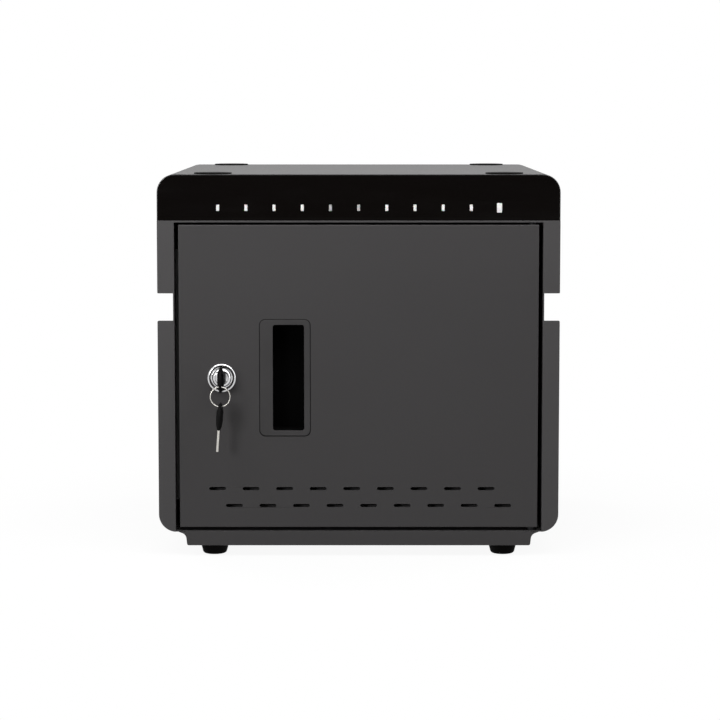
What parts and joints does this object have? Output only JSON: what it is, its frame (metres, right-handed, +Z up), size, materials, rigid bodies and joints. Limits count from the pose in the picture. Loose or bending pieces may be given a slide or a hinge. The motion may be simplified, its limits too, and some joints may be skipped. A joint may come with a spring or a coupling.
{
  "type": "device charging cabinet",
  "caption": "Desktop steel cabinet that locks up and charges tablets, with a glossy light strip, hinged door, recessed pull, cam lock with keys, vent slots and carrying grooves.",
  "frame": {"origin": "on the floor under the feet, in the middle of the bounding box, which takes in the hanging key", "axes": "+X from the lock side to the hinge side, +Y from the front to the back, +Z up"},
  "size_m": [0.38, 0.3984, 0.3647],
  "materials": {
    "painted_steel": "fine satin powder coat, dark grey",
    "pull_plastic": "satin, dark grey",
    "black_gloss": "glossy black",
    "light_lens": "milky white",
    "rubber": "matt black",
    "circuit_board": "green solder mask",
    "nylon": "natural white",
    "rack_plastic": "moulded, charcoal",
    "black_plastic": "moulded black",
    "zinc_steel": "zinc plated",
    "chrome": "polished chrome",
    "nickel": "nickel plated"
  },
  "bodies": {
    "cabinet": {"upper_cover": "painted_steel", "lower_shell": "painted_steel", "front_frame": "painted_steel", "grip_ledges_left": "painted_steel", "grip_ledges_right": "painted_steel", "liner_left": "painted_steel", "liner_right": "painted_steel", "ceiling_panel": "painted_steel", "partition_panel": "painted_steel", "rear_panel": "painted_steel", "base_tray": "painted_steel", "door_stop": "painted_steel", "fascia_panel": "black_gloss", "status_lenses": "light_lens", "power_lens": "light_lens", "rubber_feet": "rubber", "stacking_pads": "rubber", "door_bumpers": "rubber", "led_board": "circuit_board", "charger_board": "circuit_board", "led_standoffs": "nylon", "charger_standoffs": "nylon", "rack_base": "rack_plastic", "divider_01": "rack_plastic", "divider_02": "rack_plastic", "divider_03": "rack_plastic", "divider_04": "rack_plastic", "divider_05": "rack_plastic", "divider_06": "rack_plastic", "divider_07": "rack_plastic", "divider_08": "rack_plastic", "divider_09": "rack_plastic", "divider_10": "rack_plastic", "divider_11": "rack_plastic", "inlet_socket": "black_plastic", "switch_housing": "black_plastic", "fan_frame": "black_plastic", "usb_ports": "zinc_steel", "power_supply_case": "zinc_steel", "inlet_pins": "zinc_steel", "rear_screws": "zinc_steel", "foot_screws": "zinc_steel", "hinge_pins": "zinc_steel"},
    "door": {"door_panel": "painted_steel", "door_liner": "painted_steel", "pull_cup": "pull_plastic", "hinge_bushes": "nylon", "lock_body": "chrome", "lock_nut": "zinc_steel"},
    "lock": {"lock_plug": "chrome", "lock_cam": "zinc_steel", "cam_screw": "zinc_steel"},
    "key": {"key_blade": "nickel", "key_bow": "black_plastic"},
    "ring": {"key_ring": "nickel"},
    "spare_key": {"spare_key_blade": "nickel", "spare_key_bow": "black_plastic"},
    "rocker": {"switch_rocker": "black_plastic"},
    "fan": {"fan_rotor": "black_plastic"},
    "fuse": {"fuse_drawer": "black_plastic"}
  },
  "joints": [
    {"name": "door_swing", "type": "hinge", "parent": "cabinet", "child": "door", "pos_m": [0.164, -0.15475, 0.172], "axis": [0, 0, 1], "range_deg": [0, 110]},
    {"name": "lock_turn", "type": "hinge", "parent": "door", "child": "lock", "pos_m": [-0.1295, -0.16075, 0.1712], "axis": [0, 1, 0], "range_deg": [0, 90]},
    {"name": "key_pull", "type": "slide", "parent": "lock", "child": "key", "axis": [0, -1, 0], "range_m": [0, 0.025]},
    {"name": "ring_swing", "type": "hinge", "parent": "key", "child": "ring", "pos_m": [-0.1295, -0.18725, 0.1655], "axis": [-1, 0, 0], "range_deg": [-8, 70]},
    {"name": "spare_key_swing", "type": "hinge", "parent": "ring", "child": "spare_key", "pos_m": [-0.1295, -0.18725, 0.1473], "axis": [-1, 0, 0], "range_deg": [-8, 60]},
    {"name": "switch_rock", "type": "hinge", "parent": "cabinet", "child": "rocker", "pos_m": [0.088, 0.19595, 0.2735], "axis": [-1, 0, 0], "range_deg": [0, 16]},
    {"name": "fan_spin", "type": "hinge", "parent": "cabinet", "child": "fan", "pos_m": [-0.095, 0.18405, 0.2135], "axis": [0, 1, 0], "continuous": true},
    {"name": "fuse_pull", "type": "slide", "parent": "cabinet", "child": "fuse", "axis": [0, 1, 0], "range_m": [0, 0.012]}
  ]
}
